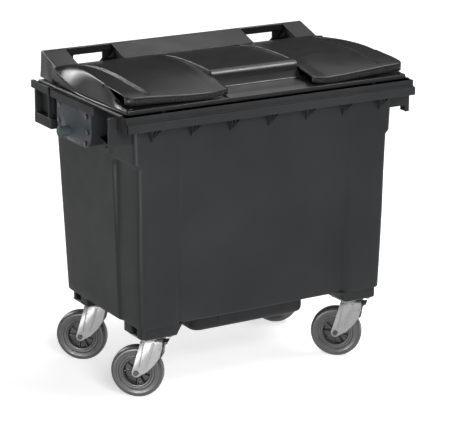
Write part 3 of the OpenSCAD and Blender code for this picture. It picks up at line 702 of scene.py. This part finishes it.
def hood():
    """Raised middle of the lid: a soft arch that ends in a rounded step above a lower deck."""
    outer = [(LID_FRONT, LID_LOW), (LID_FRONT, 1137), (-320, 1149), (-256, 1154)]
    outer += arc(-250, 1162, 8, 270, 350, 5)
    outer += arc(-201, 1185, 30, 190, 90, 16)
    outer += [(-140, 1215), (-80, 1214), (0, 1211.5), (60, 1209), (150, 1200), (254, 1183),
              (300, 1174), (LID_REAR, 1152), (LID_REAR, LID_LOW)]
    inner = [(LID_REAR - WALL, LID_LOW), (LID_REAR - WALL, 1148), (298, 1168), (252, 1178),
             (60, 1204), (-80, 1209), (-203, 1209), (-222, 1198), (-229, 1170), (-246, 1149),
             (-320, 1144), (LID_FRONT + WALL, 1132), (LID_FRONT + WALL, LID_LOW)]
    piece = lid_part("hood", prism_mesh("x", outer + inner, -HOOD_HALF, HOOD_HALF), 1.2, 40)
    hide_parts("lid")
    ridge = [(y, ridge_at(y)) for y in span(-186, 242, 28)]
    web = [(-330, 1140), (-320, 1149), (-252, 1154)] + arc(-201, 1186, 30, 190, 110, 12) + ridge
    web += [(254, 1160), (-200, 1150)]
    for side, word in SIDES:
        lid_part(f"hood_side_{word}", flipped(side, prism_mesh("x", web, HOOD_HALF - 7, HOOD_HALF + 3)), 3)


def rear_block(name, x0, x1):
    """A block that carries the lid's rear rail, from x0 to x1."""
    top = [(254, 1183), (366, RAIL_Z - 1)] + arc(LID_REAR - 5, RAIL_Z - 5, 5, 90, 0, 5)
    top += [(LID_REAR, 1140), (LID_REAR - WALL, 1140), (LID_REAR - WALL, RAIL_Z - 8),
            (371, RAIL_Z - 8), (262, 1180)]
    meshes = [prism_mesh("x", top, x0, x1)]
    cheek = [(256, 1182), (368, RAIL_Z - 1), (LID_REAR - 1, RAIL_Z - 1), (LID_REAR - 1, 1146), (270, 1172)]
    meshes += [prism_mesh("x", cheek, x, x + WALL) for x in (x0, x1 - WALL)]
    lid_part(name, joined(meshes), 1.2)


def grip_bay(side, word):
    """Hand-hold between two rear blocks: a bar, a window in the rear wall and two gussets."""
    bar = [(LID_REAR - 14, RAIL_Z - 26), (LID_REAR, RAIL_Z - 26)] \
        + arc(LID_REAR - 5, RAIL_Z - 5, 5, 0, 90, 5) + arc(LID_REAR - 9, RAIL_Z - 5, 5, 90, 180, 5)
    lid_part(f"grip_bar_{word}", flipped(side, prism_mesh("x", bar, BAY_INNER, BAY_OUTER)), 1.5)
    back = LID_REAR - WALL
    low, high, inner, outer = 1154, 1190, 322, 447
    walls = [box_mesh((BAY_INNER, back, 1140), (inner, LID_REAR, 1200)),
             box_mesh((outer, back, 1140), (BAY_OUTER, LID_REAR, 1200)),
             box_mesh((inner, back, 1140), (outer, LID_REAR, low)),
             box_mesh((inner, back, high), (outer, LID_REAR, 1200))]
    for x, turn in ((inner, 1), (outer, -1)):
        corner = [(x, low), (x + turn * 12, low), (x, low + 12)]
        walls.append(prism_mesh("y", corner, back, LID_REAR))
    lid_part(f"grip_window_{word}", flipped(side, joined(walls)), 0)
    for x, turn, where in ((BAY_INNER, 1, "inner"), (BAY_OUTER, -1, "outer")):
        rib = [(x, 1170), (x + turn * 30, 1170), (x, 1196)]
        lid_part(f"bay_gusset_{where}_{word}", flipped(side, prism_mesh("y", rib, 340, 343)), 0.5)


def lid_knuckles():
    """The lid's half of the hinge, between the lugs."""
    half = 15.9
    meshes = []
    for x in (-LUG_X, LUG_X):
        knuckle = arc(HINGE_Y, HINGE_Z, HINGE_R, 150, 360, 20)
        knuckle += [(LID_REAR, HINGE_Z), (LID_REAR, 1150), (HINGE_Y, 1150)]
        meshes.append(prism_mesh("x", knuckle, x - half, x + half))
    lid_part("hinge_knuckles", joined(meshes), 1)


# ---------- castors ----------

def castor_places():
    """For each castor: its letters, swivel point, wheel centre and heading, from the joints."""
    joints = {j["name"]: j for j in frame["joints"]}
    places = []
    for corner in ("fl", "fr", "rl", "rr"):
        swivel = Vector(joints[f"swivel_{corner}"]["pos_m"])
        wheel = Vector(joints[f"wheel_spin_{corner}"]["pos_m"])
        heading = math.atan2(wheel.y - swivel.y, wheel.x - swivel.x)
        places.append((corner, swivel, wheel, heading))
    return places


def fork_leg(trail):
    """Side outline of a pressed fork leg; x runs along the trail."""
    front = [(FORK_FRONT, FORK_TOP), (FORK_FRONT, 206), (-36, 167), (-16, 136), (12, 106)]
    return [(FORK_BACK, FORK_TOP)] + front + arc(trail, 100, 17, 232, 368, 18)


def fork(corner, swivel, heading, trail):
    """A castor's two pressed legs and their bridge, with ridges, and dark discs outside that paint the shade
    of holes.
    """
    move = Matrix.Translation((swivel.x, swivel.y, 0)) @ Matrix.Rotation(heading, 4, "Z")
    starts = (-FORK_HALF, FORK_HALF - FORK_SHEET)
    meshes = [prism_mesh("y", fork_leg(trail), y, y + FORK_SHEET) for y in starts]
    meshes.append(box_mesh((FORK_FRONT, -FORK_HALF, FORK_TOP - FORK_SHEET), (FORK_BACK, FORK_HALF, FORK_TOP)))
    piece = make_piece(f"fork_legs_{corner}", *joined(meshes), ZINC_LOOK, f"castor_{corner}",
                       bevel=1.3, move=move)
    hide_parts(f"fork_{corner}")
    ridges = []
    for y0, y1 in ((-35.5, -32), (32, 35.5)):
        for x_top, x_low, half in ((24, 44, 2.5), (-12, 18, 5.5)):
            rib = [(x_top - half, 222), (x_top + half, 222), (x_low + half * 0.6, 122),
                   (x_low - half * 0.6, 122)]
            ridges.append(prism_mesh("y", rib, y0, y1))
    make_piece(f"fork_ridges_{corner}", *joined(ridges), ZINC_LOOK, f"castor_{corner}", bevel=2, move=move)
    # Dark discs on the legs' outer faces: painted shade that stands in for holes, which are not cut.
    painted_hole_shades = [turned_mesh([(0.1, y - 0.4), (3.5, y - 0.4), (3.5, y + 0.4), (0.1, y + 0.4)], 24)
             for y in (-FORK_HALF, FORK_HALF)]
    make_piece(f"fork_hole_shade_discs_{corner}", *joined(painted_hole_shades), DARK_BOLT_AND_HOLE_SHADE_LOOK, f"castor_{corner}",
               move=move @ Matrix.Translation((-3 * MM, 0, 196 * MM)))


def wheel(corner, centre, heading):
    """Tyre, rim ring, disc with hub, and the vanes between them."""
    move = Matrix.Translation(centre) @ Matrix.Rotation(heading, 4, "Z")
    body = f"wheel_{corner}"
    outline = [(68, -21), (73, -24), (75.5, -22.5), (78, -25)] + arc(84, -10, 15.9, -70, 0, 9) \
        + arc(84, 10, 15.9, 0, 70, 9) + [(78, 25), (75.5, 22.5), (73, 24), (68, 21)]
    tyre = make_piece(f"tyre_skin_{corner}", *turned_mesh(outline), TYRE_LOOK, body, move=move)
    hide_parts(f"tyre_{corner}")
    ring_outline = [(50, -19), (52, -23), (57, -24), (60, -20), (68, -21), (68, 21), (60, 20),
                    (57, 24), (52, 23), (50, 19)]
    make_piece(f"wheel_ring_{corner}", *turned_mesh(ring_outline), TYRE_LOOK, body, bevel=1, move=move)
    disc_outline = [(11.1, -26), (21, -26), (22, -24), (22, -4), (50, -4), (50, 4), (22, 4), (22, 24),
                    (21, 26), (11.1, 26)]
    disc = make_piece(f"wheel_disc_{corner}", *turned_mesh(disc_outline), WHEEL_LOOK, body, bevel=1,
                      move=move)
    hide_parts(f"wheel_centre_{corner}")
    vanes = []
    for i in range(VANES):
        turn = Matrix.Rotation(2 * math.pi * i / VANES, 4, "Y")
        verts, faces = box_mesh((21, -16, -1.6), (51, 16, 1.6))
        vanes.append(([tuple(turn @ Vector(v)) for v in verts], faces))
    make_piece(f"wheel_vanes_{corner}", *joined(vanes), WHEEL_LOOK, body, bevel=0.7, move=move)


def brake(corner, swivel, heading):
    """Foot pedal, with a bent strip that carries the shoe down to the tyre."""
    move = Matrix.Translation((swivel.x, swivel.y, 0)) @ Matrix.Rotation(heading, 4, "Z")
    outline = [(-64, 227), (-62, 219), (-52, 214), (-46, 196), (-43, 168), (-36, 162), (-30, 172),
               (-28, 206), (-40, 224)]
    piece = make_piece(f"brake_foot_{corner}", *prism_mesh("y", outline, -22, 22), BRAKE_LOOK,
                       f"brake_{corner}", bevel=2, move=move)
    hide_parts(f"brake_pedal_{corner}")


def dress_cad_nodes():
    """Detailed materials for the nodes that keep their own shape."""
    looks = {"trunnion_pin": TRUNNION_LOOK, "castor_plate": ZINC_LOOK, "lid_buffers": RUBBER_LOOK,
             "drain_seal": RUBBER_LOOK, "drain_plug": PLUG_LOOK, "trunnion_bolts": DARK_BOLT_AND_HOLE_SHADE_LOOK,
             "axle": DARK_BOLT_AND_HOLE_SHADE_LOOK}
    for name, obj in frame["nodes"].items():
        look = next((v for k, v in looks.items() if name.startswith(k)), BOLT_LOOK)
        obj.data.materials.clear()
        obj.data.materials.append(look[0])


# ---------- stage ----------

def stage():
    """A pale floor that reads as plain white, and a world that is white to the camera but lights dimly.

    The floor gives off some light of its own, so that it stays pale under modest lamps.
    """
    floor_mesh = bpy.data.meshes.new("floor")
    reach = 40
    floor_mesh.from_pydata([(-reach, -reach, 0), (reach, -reach, 0), (reach, reach, 0), (-reach, reach, 0)],
                           [], [(0, 1, 2, 3)])
    floor = bpy.data.objects.new("floor", floor_mesh)
    bpy.context.scene.collection.objects.link(floor)
    material, _, shader = new_material("pale_floor")
    shader.inputs["Base Color"].default_value = (0.8, 0.8, 0.8, 1)
    shader.inputs["Roughness"].default_value = 0.9
    shader.inputs["Specular IOR Level"].default_value = 0.0
    shader.inputs["Emission Color"].default_value = (1, 1, 1, 1)
    shader.inputs["Emission Strength"].default_value = 0.64
    floor_mesh.materials.append(material)
    world = bpy.data.worlds.new("studio")
    world.use_nodes = True
    tree = world.node_tree
    path = tree.nodes.new("ShaderNodeLightPath")
    strength = tree.nodes.new("ShaderNodeMapRange")
    strength.inputs["To Min"].default_value = 0.06
    strength.inputs["To Max"].default_value = 1.0
    tree.links.new(path.outputs["Is Camera Ray"], strength.inputs["Value"])
    tree.nodes["Background"].inputs["Color"].default_value = (1, 1, 1, 1)
    tree.links.new(strength.outputs[0], tree.nodes["Background"].inputs["Strength"])
    bpy.context.scene.world = world
    bpy.context.scene.view_settings.view_transform = "Standard"


def sun(direction, strength, softness):
    """A broad sun shining from direction, for an even floor."""
    light = bpy.data.lights.new("sun", "SUN")
    light.energy = strength
    light.angle = math.radians(softness)
    obj = bpy.data.objects.new("sun", light)
    obj.rotation_euler = Vector(direction).to_track_quat("Z", "Y").to_euler()
    bpy.context.scene.collection.objects.link(obj)


def softbox(name, place, target, width, height, watts, highlight_only=False):
    """A rectangular lamp at place, facing target. One that is highlight_only adds reflections alone."""
    light = bpy.data.lights.new(name, "AREA")
    light.shape = "RECTANGLE"
    light.size = width
    light.size_y = height
    light.energy = watts
    obj = bpy.data.objects.new(name, light)
    obj.location = place
    obj.rotation_euler = (Vector(target) - Vector(place)).to_track_quat("-Z", "Y").to_euler()
    obj.visible_diffuse = not highlight_only
    bpy.context.scene.collection.objects.link(obj)


def camera():
    """Camera at the photograph's viewing angle."""
    data = bpy.data.cameras.new("camera")
    data.sensor_width = 36
    data.lens = 169.2
    data.shift_x = 0.030
    data.shift_y = -0.011
    azimuth = math.radians(-30.13)
    tilt = math.radians(16.26)
    back = Vector((math.sin(azimuth) * math.cos(tilt), -math.cos(azimuth) * math.cos(tilt), math.sin(tilt)))
    obj = bpy.data.objects.new("camera", data)
    obj.location = (-3.960, -6.727, 2.895)
    obj.rotation_euler = back.to_track_quat("Z", "Y").to_euler()
    bpy.context.scene.collection.objects.link(obj)
    bpy.context.scene.camera = obj


camera()
stage()
sun((0.49, -0.25, 0.81), 2.1, 35)
softbox("key", (-1.5, -5.5, 3.2), (0, 0, 0.6), 2.5, 2.5, 280)
softbox("top", (2.2, 1.7, 4.7), (0, 0, 1.1), 3.2, 2.2, 60)
softbox("roll", (2.2, -1.35, 4.85), (0, -0.2, 1.2), 1.0, 1.0, 200, True)
softbox("rear_left", (-2.4, 4.2, 3.3), (-0.4, 0, 1.1), 2.8, 2.0, 320, True)
softbox("corner_strip", (-2.2, -1.27, 0.36), (-0.54, -0.31, 0.65), 0.16, 0.6, 60, True)

tub_shell()
comb_rim()
hinge_lugs()
hood()
rear_block("rear_block_middle", -BAY_INNER, BAY_INNER)
lid_knuckles()
for side, word in SIDES:
    side_rim(side, word)
    corner_bracket(side, word)
    rear_handle(side, word)
    castor_pads(side, word)
    trunnion(side, word)
    flap(side, word)
    fairing(side, word)
    base_frame(side, word)
    grip_bay(side, word)
    ends = sorted((side * BLOCK_END, side * BAY_OUTER))
    rear_block(f"rear_block_{word}", *ends)
for corner, swivel, centre, heading in castor_places():
    trail = (centre - swivel).to_2d().length / MM
    fork(corner, swivel, heading, trail)
    wheel(corner, centre, heading)
    if corner.startswith("f"):
        brake(corner, swivel, heading)
dress_cad_nodes()
